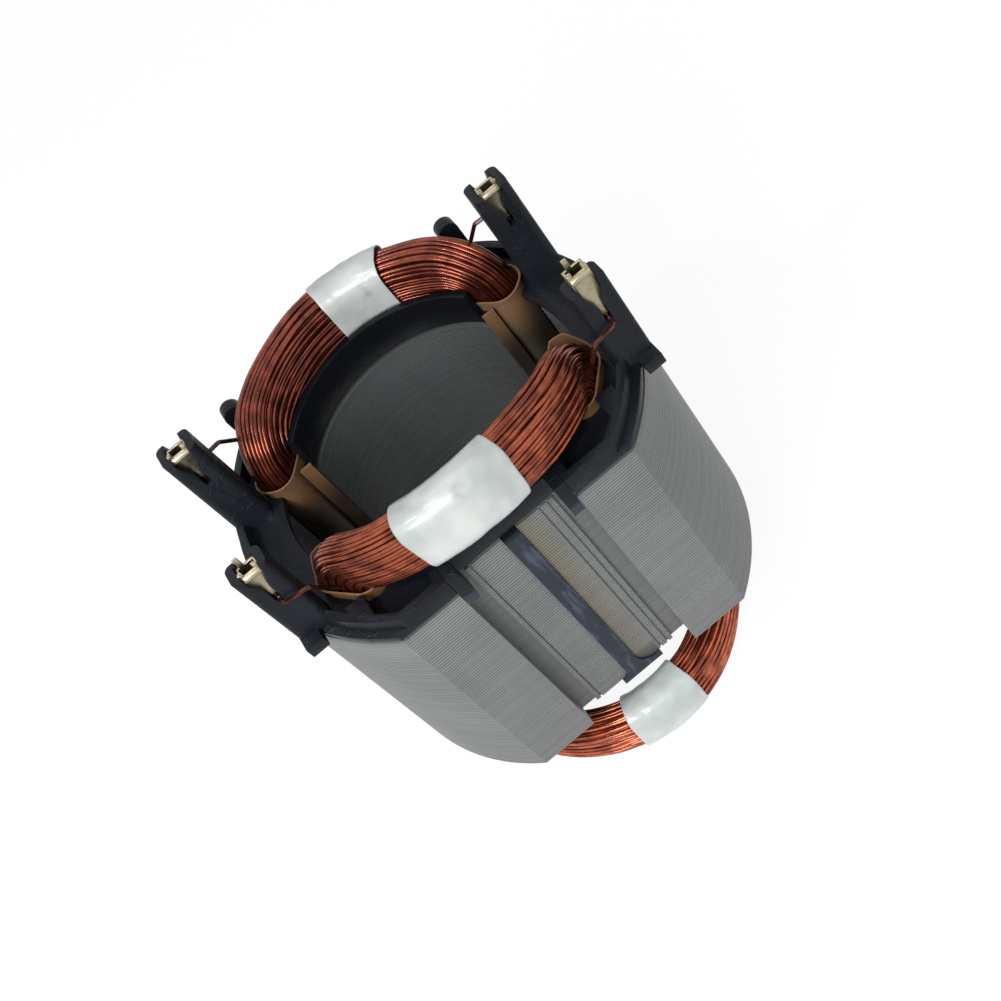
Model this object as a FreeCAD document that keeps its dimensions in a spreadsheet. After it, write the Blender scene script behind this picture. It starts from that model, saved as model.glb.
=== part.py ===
import FreeCAD
import Part
import math
import os
from FreeCAD import Placement, Rotation, Vector

# Two-pole wound stator of a universal motor, millimetres, +Z along the bore
# towards the terminal side. The origin is on the bore's axis, on the lower
# face of the laminated stack. The grooved flat faces -Y.

SIZES = {
    "stack_height": 50.0,
    "stack_radius": 36.5,
    "flat_distance": 29.0,
    "bore_radius": 21.25,
    "pole_tip_height": 10.9,
    "side_yoke": 5.9,
    "flange_mouth_inset": 9.1,
    "recess_half_width": 11.4,
    "recess_depth": 3.2,
    "channel_width": 2.9,
    "channel_depth": 0.7,
    "score_width": 0.35,
    "score_depth": 0.35,
    "slot_inset": 9.7,
    "slot_centre_angle": 33.0,
    "slot_lean": 40.0,
    "coil_width": 6.4,
    "coil_depth": 10.6,
    "coil_corner": 2.3,
    "coil_bend": 5.8,
    "rear_top_rise": 10.0,
    "front_top_rise": 12.8,
    "front_arch_tilt": 28.0,
    "lower_drop": 11.2,
    "liner_thickness": 0.35,
    "liner_gap": 0.1,
    "liner_drop": 5.2,
    "rear_cuff_turn": 36.0,
    "front_cuff_turn": 24.0,
    "tape_thickness": 0.4,
    "tape_gap": 0.05,
    "front_tape_span": 39.0,
    "front_tape_centre": 85.5,
    "rear_tape_span": 30.0,
    "rear_tape_centre": 77.0,
    "lower_tape_span": 29.0,
    "lower_tape_centre": 89.0,
    "flange_thickness": 1.2,
    "rim_height": 4.0,
    "rim_wall": 1.4,
    "rim_setback": 1.3,
    "pole_wall_inset": 0.35,
    "pole_wall_thickness": 1.2,
    "pole_wall_height": 7.0,
    "pole_wall_angle": 57.0,
    "clip_width": 2.0,
    "clip_reach": 3.8,
    "rib_inset": 10.5,
    "rib_width": 3.2,
    "rear_tower_height": 23.2,
    "rear_tower_inset": 2.2,
    "rear_tower_width": 6.3,
    "rear_tower_front": 7.8,
    "rear_tower_depth": 5.0,
    "front_tower_height": 20.2,
    "front_tower_inset": 1.6,
    "front_tower_width": 6.4,
    "front_tower_front": 18.2,
    "front_tower_depth": 4.4,
    "lug_reach": 2.2,
    "lug_rise": 2.2,
    "post_inset": 13.2,
    "post_width": 3.6,
    "post_front": 23.2,
    "post_depth": 2.4,
    "post_height": 11.3,
    "tower_corner": 1.1,
    "pocket_width": 3.7,
    "pocket_depth": 2.6,
    "pocket_sink": 9.6,
    "notch_sink": 3.0,
    "slit_width": 1.1,
    "slit_sink": 7.8,
    "neck_sink": 4.2,
    "terminal_gap": 0.1,
    "terminal_wall": 0.4,
    "terminal_collar": 0.9,
    "horn_width": 0.6,
    "horn_height": 1.3,
    "rear_terminal_rise": 0.5,
    "front_left_terminal_rise": 0.3,
    "front_right_terminal_rise": 3.4,
    "terminal_sink": 5.0,
    "tail_sink": 5.8,
    "wire_diameter": 0.75,
    "wire_gap": 0.15,
    "lower_inset": 2.6,
    "bar_width": 3.0,
    "bar_seat": 1.0,
    "bar_stand": 0.5,
    "foot_right": 3.9,
    "foot_left": 1.4,
    "foot_rise": 3.4,
}

doc = FreeCAD.newDocument("wound_stator")
sheet = doc.addObject("Spreadsheet::Sheet", "Sizes")
for row, (alias, number) in enumerate(SIZES.items(), 1):
    sheet.set(f"A{row}", alias)
    sheet.set(f"B{row}", str(number))
    sheet.setAlias(f"B{row}", alias)
doc.recompute()


def size(alias):
    return float(getattr(sheet, alias))


HEIGHT = size("stack_height")
RADIUS = size("stack_radius")
FLAT = size("flat_distance")
BORE = size("bore_radius")
RECESS = size("recess_half_width")
RECESS_Y = FLAT - size("recess_depth")
LEAN = math.radians(size("slot_lean"))
LEG_X = (RADIUS - size("slot_inset")) * math.cos(math.radians(size("slot_centre_angle")))
LEG_Y = (RADIUS - size("slot_inset")) * math.sin(math.radians(size("slot_centre_angle")))
BEND = size("coil_bend")

OUT = Vector(math.cos(LEAN), math.sin(LEAN), 0)
ALONG = Vector(-math.sin(LEAN), math.cos(LEAN), 0)

bodies = []


def new_body(label):
    body = doc.addObject("PartDesign::Body", label)
    body.Label = label
    bodies.append(body)
    return body


def plane_of(body, role):
    return [item for item in body.Origin.OriginFeatures if item.Role == role][0]


def add_sketch(body, name, edges, place=Placement(), axis=None):
    """A sketch on the body's XY plane, moved to place; axis is a construction line."""
    profile = body.newObject("Sketcher::SketchObject", name)
    profile.AttachmentSupport = (plane_of(body, "XY_Plane"), [""])
    profile.MapMode = "FlatFace"
    profile.AttachmentOffset = place
    for edge in edges:
        profile.addGeometry(edge, False)
    if axis is not None:
        profile.addGeometry(Part.LineSegment(axis[0], axis[1]), True)
    return profile


def add_pad(body, name, profile, length):
    pad = body.newObject("PartDesign::Pad", name)
    pad.Profile = profile
    pad.setExpression("Length", length)
    profile.Visibility = False
    doc.recompute()
    return pad


def add_pocket(body, name, profile, length, backwards=False, both=False):
    before = body.Shape.Volume
    pocket = body.newObject("PartDesign::Pocket", name)
    pocket.Profile = profile
    pocket.setExpression("Length", length)
    pocket.Reversed = backwards
    pocket.Midplane = both
    doc.recompute()
    if body.Shape.Volume > before - 1e-6:
        raise RuntimeError(f"{name} in {body.Label} cuts nothing")
    return pocket


def add_turn(body, name, profile, angle, backwards=False):
    turn = body.newObject("PartDesign::Revolution", name)
    turn.Profile = profile
    turn.ReferenceAxis = (profile, ["Axis0"])
    turn.setExpression("Angle", angle)
    turn.Reversed = backwards
    doc.recompute()
    return turn


def polygon(points):
    """Straight edges through the points, closed."""
    corners = [Vector(x, y, 0) for x, y in points]
    return [Part.LineSegment(a, b) for a, b in zip(corners, corners[1:] + corners[:1])]


def rectangle(x_low, y_low, x_high, y_high):
    return polygon([(x_low, y_low), (x_high, y_low), (x_high, y_high), (x_low, y_high)])


def circle(radius, x=0.0, y=0.0):
    return [Part.Circle(Vector(x, y, 0), Vector(0, 0, 1), radius)]


def arc(x, y, radius, start, stop):
    """An arc about (x, y), angles in degrees, anticlockwise."""
    whole = Part.Circle(Vector(x, y, 0), Vector(0, 0, 1), radius)
    return Part.ArcOfCircle(whole, math.radians(start), math.radians(stop))


def rounded_rectangle(half_x, half_y, corner, x=0.0, y=0.0):
    """A rectangle with round corners, centred at (x, y)."""
    flat_x = half_x - corner
    flat_y = half_y - corner
    edges = [
        arc(x + flat_x, y + flat_y, corner, 0, 90),
        arc(x - flat_x, y + flat_y, corner, 90, 180),
        arc(x - flat_x, y - flat_y, corner, 180, 270),
        arc(x + flat_x, y - flat_y, corner, 270, 360),
        Part.LineSegment(Vector(x + flat_x, y + half_y, 0), Vector(x - flat_x, y + half_y, 0)),
        Part.LineSegment(Vector(x - half_x, y + flat_y, 0), Vector(x - half_x, y - flat_y, 0)),
        Part.LineSegment(Vector(x - flat_x, y - half_y, 0), Vector(x + flat_x, y - half_y, 0)),
        Part.LineSegment(Vector(x + half_x, y - flat_y, 0), Vector(x + half_x, y + flat_y, 0)),
    ]
    return edges


def at_height(z, x=0.0, y=0.0, angle=0.0):
    return Placement(Vector(x, y, z), Rotation(Vector(0, 0, 1), angle))


def upright(x, y, z, angle=0.0):
    """Sketch X along the direction at this angle in plan, sketch Y along +Z."""
    along = Vector(math.cos(math.radians(angle)), math.sin(math.radians(angle)), 0)
    rise = Vector(0, 0, 1)
    return Placement(Vector(x, y, z), Rotation(along, rise, along.cross(rise), "ZXY"))


def outline(radius, flat, recess_half, recess_y, front_details=None):
    """Curved sides and two flats, each flat with a recess in its middle."""
    half = math.sqrt(radius * radius - flat * flat)
    if front_details is None:
        front_details = [(-recess_half, -recess_y), (recess_half, -recess_y)]
    front = [(-half, -flat), (-recess_half, -flat)]
    front += front_details
    front += [(recess_half, -flat), (half, -flat)]
    rear = [(half, flat), (recess_half, flat), (recess_half, recess_y)]
    rear += [(-recess_half, recess_y), (-recess_half, flat), (-half, flat)]
    edges = []
    for run in (front, rear):
        for a, b in zip(run, run[1:]):
            edges.append(Part.LineSegment(Vector(a[0], a[1], 0), Vector(b[0], b[1], 0)))
    side = math.degrees(math.asin(flat / radius))
    edges.append(arc(0, 0, radius, -side, side))
    edges.append(arc(0, 0, radius, 180 - side, 180 + side))
    return edges


def sector(inner, outer, middle, half_angle):
    """A piece of a ring about the bore's axis, angles in degrees."""
    low = math.radians(middle - half_angle)
    high = math.radians(middle + half_angle)
    edges = [arc(0, 0, outer, middle - half_angle, middle + half_angle)]
    edges.append(arc(0, 0, inner, middle - half_angle, middle + half_angle))
    for angle in (low, high):
        across = Vector(math.cos(angle), math.sin(angle), 0)
        edges.append(Part.LineSegment(across * inner, across * outer))
    return edges


def slot_edges(margin):
    """The four slots' round-cornered sections, grown by margin beyond the coil."""
    loops = []
    half_x = size("coil_width") / 2 + margin
    half_y = size("coil_depth") / 2 + margin
    for side_x in (1, -1):
        for side_y in (1, -1):
            turned = Placement(Vector(side_x * LEG_X, side_y * LEG_Y, 0),
                               Rotation(Vector(0, 0, 1), side_x * side_y * size("slot_lean")))
            for edge in rounded_rectangle(half_x, half_y, size("coil_corner") + margin):
                edge.transform(turned.toMatrix())
                loops.append(edge)
    return loops


LINER_OUT = size("liner_gap") + size("liner_thickness")
SLOT_MARGIN = LINER_OUT + size("liner_gap")


def stack_front():
    """The front recess: a channel at each side, score lines and the bar's seat."""
    deep = RECESS_Y - size("channel_depth")
    inner = RECESS - size("channel_width")
    seat = size("bar_width") / 2
    seat_y = RECESS_Y - size("bar_seat")
    score = size("score_width") / 2
    score_y = RECESS_Y - size("score_depth")
    points = [(-RECESS, -deep), (-inner, -deep), (-inner, -RECESS_Y)]
    cuts = [(1.0 - inner, score, score_y), (0.0, seat, seat_y)]
    cuts += [(inner - 2.5, score, score_y), (inner - 1.0, score, score_y)]
    for x, half, depth in cuts:
        points += [(x - half, -RECESS_Y), (x - half, -depth), (x + half, -depth), (x + half, -RECESS_Y)]
    points += [(inner, -RECESS_Y), (inner, -deep), (RECESS, -deep)]
    return points


def mouth_edges(outer):
    """Between the pole tips the slots open to the bore and to each other."""
    tip = size("pole_tip_height")
    reach = math.degrees(math.asin(tip / outer))
    far = math.sqrt(outer * outer - tip * tip)
    near = math.sqrt(BORE * BORE - tip * tip) - 1.0
    edges = []
    for side in (1, -1):
        turn = 0 if side == 1 else 180
        edges.append(arc(0, 0, outer, turn - reach, turn + reach))
        corners = [Vector(side * x, y, 0) for x, y in ((far, tip), (near, tip), (near, -tip), (far, -tip))]
        for first, second in zip(corners, corners[1:]):
            edges.append(Part.LineSegment(first, second))
    return edges


def make_stack():
    """The steel pack: bore, four slots, grooved front."""
    body = new_body("lamination_stack")
    edges = outline(RADIUS, FLAT, RECESS, RECESS_Y, stack_front())
    add_pad(body, "Pack", add_sketch(body, "PackOutline", edges), "Sizes.stack_height")
    cuts = (("Bore", circle(BORE)), ("Slots", slot_edges(SLOT_MARGIN)), ("Mouths", mouth_edges(RADIUS - size("side_yoke"))))
    for name, edges in cuts:
        section = add_sketch(body, name + "Section", edges)
        add_pocket(body, name, section, "Sizes.stack_height", backwards=True)


def bundle_section(grow=0.0):
    """The wire bundle's section: a rectangle with its corners taken off."""
    half_x = size("coil_width") / 2 + grow
    half_y = size("coil_depth") / 2 + grow
    cut = size("coil_corner") + grow * (2 - math.sqrt(2))
    points = []
    for way_x, way_y in ((1, 1), (-1, 1), (-1, -1), (1, -1)):
        pair = [(way_x * half_x, way_y * (half_y - cut)), (way_x * (half_x - cut), way_y * half_y)]
        points += pair if way_x == way_y else pair[::-1]
    return polygon(points)


class EndTurn:
    """One end of a coil: a bend out of the slot, then an arch in a tilted plane.

    The arch lies in a plane through X that climbs by the tilt, on a circle that meets
    both bends without a kink. way is 1 for the top end and -1 for the lower end.
    """

    def __init__(self, peak, tilt_text, way):
        tilt = 0.0 if tilt_text == "0" else math.radians(size(tilt_text))
        formula = "0" if tilt_text == "0" else "Sizes." + tilt_text
        entry = math.atan(math.tan(tilt) * math.cos(LEAN))
        begin = math.asin(math.sin(LEAN) * math.cos(entry))
        climb = BEND * math.cos(entry)
        run = BEND * (1 - math.sin(entry))
        foot = Vector(LEG_X, LEG_Y, 0) + ALONG * run
        self.radius = foot.x / math.cos(begin)
        self.start_z = peak - way * self.radius * (1 - math.sin(begin)) * math.sin(tilt)
        self.bend_z = self.start_z - way * climb
        self.start = Vector(foot.x, foot.y, self.start_z)
        self.begin = math.degrees(begin)
        self.normal = Vector(0, -math.sin(tilt), math.cos(tilt))
        climb_way = Vector(0, math.cos(tilt), math.sin(tilt))
        radial = Vector(1, 0, 0) * math.cos(begin) + climb_way * math.sin(begin)
        heading = ALONG * math.cos(entry) + Vector(0, 0, math.sin(entry))
        rise = OUT.cross(heading)
        self.centre = self.start - radial * self.radius
        self.place = Placement(self.start, Rotation(OUT, rise, OUT.cross(rise), "ZXY"))
        hub = radial * -self.radius
        tip = hub + self.normal
        self.line = (Vector(hub.dot(OUT), hub.dot(rise), 0), Vector(tip.dot(OUT), tip.dot(rise), 0))
        climbing = f"atan(tan({formula}) * cos(Sizes.slot_lean))"
        self.bend_formula = f"90 deg - {climbing}"
        self.arch_formula = f"180 deg - 2 * asin(sin(Sizes.slot_lean) * cos({climbing}))"

    def station(self, degrees):
        """The section's place where the arch has turned to this angle from +X."""
        swing = Placement(Vector(), Rotation(self.normal, degrees - self.begin), self.centre)
        return swing.multiply(self.place)


def bend_hub(turn, side, way):
    """The place of the section where the leg stops and the bend starts, and the bend's axis."""
    place = at_height(turn.bend_z, side * LEG_X, LEG_Y, side * size("slot_lean"))
    return place, (Vector(way, BEND, 0), Vector(-way, BEND, 0))


TOP_TURNS = {
    "rear": EndTurn(HEIGHT + size("rear_top_rise"), "0", 1),
    "front": EndTurn(HEIGHT + size("front_top_rise"), "front_arch_tilt", 1),
}
LOW_TURN = EndTurn(-size("lower_drop"), "0", -1)


def make_coil(row_name, half_turn):
    """A field coil: two slot legs, four bends and two arched end turns, in a closed loop."""
    body = new_body(row_name + "_coil")
    ends = (("Top", TOP_TURNS[row_name], 1), ("Low", LOW_TURN, -1))
    length = TOP_TURNS[row_name].bend_z - LOW_TURN.bend_z

    def add_leg(side, tag):
        place = at_height(LOW_TURN.bend_z, side * LEG_X, LEG_Y, side * size("slot_lean"))
        leg = add_sketch(body, "Leg" + tag, bundle_section(), place)
        add_pad(body, "Leg" + tag + "Run", leg, str(length))

    def add_bend(side, name, turn, way):
        place, line = bend_hub(turn, side, way)
        bend = add_sketch(body, name, bundle_section(), place, line)
        add_turn(body, name + "Turn", bend, turn.bend_formula)

    add_leg(1, "Right")
    for end, turn, way in ends:
        add_bend(1, end + "BendRight", turn, way)
        arch = add_sketch(body, end + "Arch", bundle_section(), turn.place, turn.line)
        add_turn(body, end + "ArchTurn", arch, turn.arch_formula)
        add_bend(-1, end + "BendLeft", turn, way)
    add_leg(-1, "Left")
    body.Placement = Placement(Vector(), Rotation(Vector(0, 0, 1), half_turn))


def make_tape(label, span, centre, turn, half_turn):
    """A tape band wound round an end turn."""
    body = new_body(label)
    gap = size("tape_gap")
    edges = bundle_section(gap + size("tape_thickness")) + bundle_section(gap)
    place = turn.station(size(centre) - size(span) / 2)
    band = add_sketch(body, "BandSection", edges, place, turn.line)
    add_turn(body, "Band", band, "Sizes." + span)
    body.Placement = Placement(Vector(), Rotation(Vector(0, 0, 1), half_turn))


def make_liner(label, row_name, side, half_turn):
    """The paper sleeve in one slot, with a cuff that follows the coil's bend."""
    body = new_body(label)
    turn = TOP_TURNS[row_name]
    edges = bundle_section(LINER_OUT) + bundle_section(size("liner_gap"))
    place = at_height(-size("liner_drop"), side * LEG_X, LEG_Y, side * size("slot_lean"))
    sleeve = add_sketch(body, "Sleeve", edges, place)
    add_pad(body, "SleeveRun", sleeve, f"Sizes.liner_drop + {turn.bend_z}")
    place, line = bend_hub(turn, side, 1)
    edges = bundle_section(LINER_OUT) + bundle_section(size("liner_gap"))
    cuff = add_sketch(body, "Cuff", edges, place, line)
    add_turn(body, "CuffTurn", cuff, f"Sizes.{row_name}_cuff_turn")
    body.Placement = Placement(Vector(), Rotation(Vector(0, 0, 1), half_turn))


TOWERS = {}
for row_name in ("rear", "front"):
    height = size(row_name + "_tower_height")
    width = size(row_name + "_tower_width")
    depth = size(row_name + "_tower_depth")
    centre_x = RADIUS - size(row_name + "_tower_inset") - width / 2
    if row_name == "rear":
        front_y = size("rear_tower_front")
    else:
        front_y = -size("front_tower_front")
    TOWERS[row_name] = (centre_x, front_y, width, depth, HEIGHT + height)


def add_tower(body, row_name, side):
    """One terminal tower: block, pocket, front slot with a wide mouth, notched back."""
    x, front_y, width, depth, top = TOWERS[row_name]
    x *= side
    tag = row_name.title() + ("Right" if side == 1 else "Left")
    middle = front_y + depth / 2
    block = rounded_rectangle(width / 2, depth / 2, size("tower_corner"), x, middle)
    base = add_sketch(body, tag + "Block", block, at_height(HEIGHT))
    add_pad(body, tag + "Tower", base, f"Sizes.{row_name}_tower_height")
    half = size("pocket_width") / 2
    deep = size("pocket_depth") / 2
    pocket = rectangle(x - half, middle - deep, x + half, middle + deep)
    seat = add_sketch(body, tag + "Pocket", pocket, at_height(top))
    add_pocket(body, tag + "PocketCut", seat, "Sizes.pocket_sink")
    slit = size("slit_width") / 2
    mouth = half - 0.2
    sink = size("slit_sink")
    neck = size("neck_sink")
    slot = [(-mouth, 1), (mouth, 1), (mouth, -1.5), (slit, -neck), (slit, -sink)]
    slot += [(-slit, -sink), (-slit, -neck), (-mouth, -1.5)]
    front = add_sketch(body, tag + "Slot", polygon(slot), upright(x, front_y, top))
    add_pocket(body, tag + "SlotCut", front, f"Sizes.{row_name}_tower_depth / 2")
    notch_sink = size("notch_sink")
    notch = [(-mouth, 1), (mouth, 1), (mouth - 0.8, -notch_sink)]
    if row_name == "rear":
        notch += [(slit, -notch_sink), (slit, -sink), (-slit, -sink), (-slit, -notch_sink)]
    notch.append((0.8 - mouth, -notch_sink))
    rear = add_sketch(body, tag + "Notch", polygon(notch), upright(x, front_y + depth, top))
    add_pocket(body, tag + "NotchCut", rear, f"Sizes.{row_name}_tower_depth / 2", backwards=True)


def hole_edges(bore):
    """The openings that both end frames share with the stack."""
    slots = slot_edges(SLOT_MARGIN)
    mouths = mouth_edges(RADIUS - size("flange_mouth_inset"))
    return (("Bore", circle(bore)), ("SlotHoles", slots), ("Mouths", mouths))


def make_top_frame():
    """The upper end frame: flange, rim, pole walls, ribs, clips, posts and towers."""
    body = new_body("top_end_frame")
    up = at_height(HEIGHT)
    wall = size("rim_wall")
    back = size("rim_setback")
    flange = add_sketch(body, "FlangeOutline", outline(RADIUS, FLAT, RECESS, RECESS_Y), up)
    add_pad(body, "Flange", flange, "Sizes.flange_thickness")
    rim = outline(RADIUS - back, FLAT, RECESS, RECESS_Y)
    rim += outline(RADIUS - back - wall, FLAT - wall, RECESS + wall, RECESS_Y - wall)
    add_pad(body, "Rim", add_sketch(body, "RimSection", rim, up), "Sizes.rim_height")
    inner = BORE + size("pole_wall_inset")
    outer = inner + size("pole_wall_thickness")
    walls = sector(inner, outer, 90, size("pole_wall_angle"))
    walls += sector(inner, outer, 270, size("pole_wall_angle"))
    add_pad(body, "PoleWalls", add_sketch(body, "PoleWallSections", walls, up), "Sizes.pole_wall_height")
    ribs = []
    clips = []
    fingers = []
    lugs = []
    far = RADIUS - size("rib_inset")
    near = far - size("rib_width")
    ring = RADIUS - back - wall / 2
    clip_out = RECESS - 0.1
    clip_in = clip_out - size("clip_width")
    lug_out = RADIUS - size("front_tower_inset")
    lug_y = size("front_tower_front") + size("lug_reach")
    rib_y = LEG_Y + size("coil_depth") / 2 + LINER_OUT
    for side in (1, -1):
        ends = [min(math.sqrt(ring ** 2 - x ** 2), FLAT - wall / 2) for x in (far, near)]
        points = ((near, -rib_y), (far, -rib_y), (far, -ends[0]), (near, -ends[1]))
        ribs += polygon([(side * x, y) for x, y in points])
        low, high = sorted((side * clip_in, side * clip_out))
        clips += rectangle(low, -FLAT, high, -RECESS_Y + wall / 2)
        fingers += rectangle(low, -FLAT, high, -RECESS_Y + size("channel_depth") - 0.2)
        low, high = sorted((side * (lug_out - 3.2), side * lug_out))
        lugs += rectangle(low, -lug_y, high, -lug_y + size("lug_reach") + 1)
    add_pad(body, "Ribs", add_sketch(body, "RibSections", ribs, up), "Sizes.rim_height")
    add_pad(body, "ClipRoots", add_sketch(body, "ClipRootSections", clips, up), "Sizes.rim_height")
    hang = add_sketch(body, "ClipSections", fingers, up)
    clip = add_pad(body, "Clips", hang, "Sizes.clip_reach")
    clip.Reversed = True
    for row_name in ("rear", "front"):
        for side in (1, -1):
            add_tower(body, row_name, side)
    add_pad(body, "Lugs", add_sketch(body, "LugSections", lugs, up), "Sizes.lug_rise")
    half = size("post_width") / 2
    shoulder = size("post_height") - half
    for side in (1, -1):
        post = [arc(0, shoulder, half, 0, 180)]
        post += [Part.LineSegment(Vector(x, 0, 0), Vector(x, shoulder, 0)) for x in (half, -half)]
        post.append(Part.LineSegment(Vector(-half, 0, 0), Vector(half, 0, 0)))
        foot = upright(side * (RADIUS - size("post_inset")), size("post_front") + size("post_depth"), HEIGHT)
        tag = "Right" if side == 1 else "Left"
        add_pad(body, tag + "Post", add_sketch(body, tag + "PostFace", post, foot), "Sizes.post_depth")
    # The bore and the four slots pass through the flange.
    for name, edges in hole_edges(inner):
        section = add_sketch(body, name + "Section", edges, up)
        add_pocket(body, name, section, "Sizes.rim_height", backwards=True)


def make_bottom_frame():
    """The lower end frame, with the bar that runs up the middle of the front recess."""
    body = new_body("bottom_end_frame")
    inset = size("lower_inset")
    down = at_height(-size("flange_thickness"))
    edges = outline(RADIUS - inset, FLAT - inset, RECESS + inset, RECESS_Y - inset)
    add_pad(body, "Flange", add_sketch(body, "FlangeOutline", edges, down), "Sizes.flange_thickness")
    inner = BORE + size("pole_wall_inset")
    outer = inner + size("pole_wall_thickness")
    walls = sector(inner, outer, 90, size("pole_wall_angle")) + sector(inner, outer, 270, size("pole_wall_angle"))
    skirts = add_pad(body, "PoleWalls", add_sketch(body, "PoleWallSections", walls, down), "1.5 * Sizes.flange_thickness")
    skirts.Reversed = True
    for name, edges in hole_edges(inner):
        section = add_sketch(body, name + "Section", edges, at_height(0))
        add_pocket(body, name, section, "4 * Sizes.flange_thickness")
    half = size("bar_width") / 2
    front = RECESS_Y + size("bar_stand")
    right = half + size("foot_right")
    left = half + size("foot_left")
    tongue = add_sketch(body, "TongueSection", rectangle(-left, -front, right, inset - RECESS_Y + 0.5), down)
    add_pad(body, "Tongue", tongue, "Sizes.flange_thickness")
    curve = size("foot_rise")
    small = size("foot_left")
    foot = [Part.LineSegment(Vector(-left, -0.5, 0), Vector(right, -0.5, 0))]
    foot.append(Part.LineSegment(Vector(right, -0.5, 0), Vector(right, 0, 0)))
    foot.append(Part.LineSegment(Vector(right, 0, 0), Vector(half + curve, 0, 0)))
    foot.append(arc(half + curve, curve, curve, 180, 270))
    foot.append(Part.LineSegment(Vector(half, curve, 0), Vector(-half, curve, 0)))
    foot.append(Part.LineSegment(Vector(-half, curve, 0), Vector(-half, small, 0)))
    foot.append(arc(-left, small, small, 270, 360))
    foot.append(Part.LineSegment(Vector(-left, 0, 0), Vector(-left, -0.5, 0)))
    flare = add_sketch(body, "FootFace", foot, upright(0, -RECESS_Y, 0))
    add_pad(body, "Foot", flare, "Sizes.bar_stand")
    seat = RECESS_Y - size("bar_seat") + size("liner_gap")
    bar = rectangle(-half + 0.05, -front, half - 0.05, -seat)
    add_pad(body, "Bar", add_sketch(body, "BarSection", bar, down),
            "Sizes.flange_thickness + Sizes.stack_height - Sizes.liner_gap")


def make_terminal(label, row_name, side, rise):
    """A folded terminal: a horned sleeve with a rolled collar, and a plate that narrows to a tail."""
    body = new_body(label)
    x, front_y, width, depth, top = TOWERS[row_name]
    x *= side
    gap = size("terminal_gap")
    wall = size("terminal_wall")
    middle = front_y + depth / 2
    half = size("pocket_width") / 2 - gap
    deep = size("pocket_depth") / 2 - gap
    sleeve = rectangle(x - half, middle - deep, x + half, middle + deep)
    sleeve += rectangle(x - half + wall, middle - deep + wall, x + half - wall, middle + deep - wall)
    base = add_sketch(body, "SleeveSection", sleeve, at_height(top - size("terminal_sink")))
    add_pad(body, "Sleeve", base, f"Sizes.terminal_sink + Sizes.{rise}")
    neck = size("neck_sink")
    tail = size("slit_width") / 2 - gap
    mouth = size("pocket_width") / 2 - 0.2 - gap
    lip = size(rise) - 0.5
    plate = [(-mouth, lip), (mouth, lip), (mouth, -1.6), (tail, -neck - 0.1), (tail, -size("tail_sink"))]
    plate += [(-tail, -size("tail_sink")), (-tail, -neck - 0.1), (-mouth, -1.6)]
    face = add_sketch(body, "PlateFace", polygon(plate), upright(x, middle - deep + wall / 2, top))
    add_pad(body, "Plate", face, "1.5 * Sizes.terminal_wall")
    collar = upright(x - mouth, middle - deep, top + lip, 90)
    roll = add_sketch(body, "CollarSection", circle(size("terminal_collar") / 2), collar)
    add_pad(body, "Collar", roll, "Sizes.pocket_width - 0.4 - 2 * Sizes.terminal_gap")
    horns = []
    for low in (x - half, x + half - size("horn_width")):
        horns += rectangle(low, middle - deep, low + size("horn_width"), middle - deep + wall)
    ends = add_sketch(body, "HornSections", horns, at_height(top + lip))
    add_pad(body, "Horns", ends, "Sizes.horn_height")


def bent_wire(points, bend, radius):
    """A wire of six flats along straight runs joined by tangent arcs, and its length."""
    heading = (points[1] - points[0]).normalize()
    turned = Rotation(Vector(0, 0, 1), heading)
    corners = []
    for step in range(7):
        angle = math.radians(60 * step)
        corners.append(points[0] + turned.multVec(Vector(math.cos(angle), math.sin(angle), 0) * radius))
    section = Part.Face(Part.makePolygon(corners))
    area = section.Area
    pieces = []
    total = 0.0
    here = points[0]
    for before, corner, after in zip(points, points[1:], points[2:]):
        inward = (before - corner).normalize()
        outward = (after - corner).normalize()
        angle = inward.getAngle(outward)
        start = corner + inward * (bend / math.tan(angle / 2))
        run = start - here
        pieces.append(section.extrude(run))
        section.translate(run)
        hub = corner + (inward + outward).normalize() * (bend / math.sin(angle / 2))
        swing = math.pi - angle
        axis = outward.cross(inward)
        pieces.append(section.revolve(hub, axis, math.degrees(swing)))
        section.rotate(hub, axis, math.degrees(swing))
        total += run.Length + bend * swing
        here = corner + outward * (bend / math.tan(angle / 2))
    run = points[-1] - here
    pieces.append(section.extrude(run))
    solid = pieces[0].fuse(pieces[1:]).removeSplitter()
    return solid.Solids[0], area * (total + run.Length)


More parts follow.
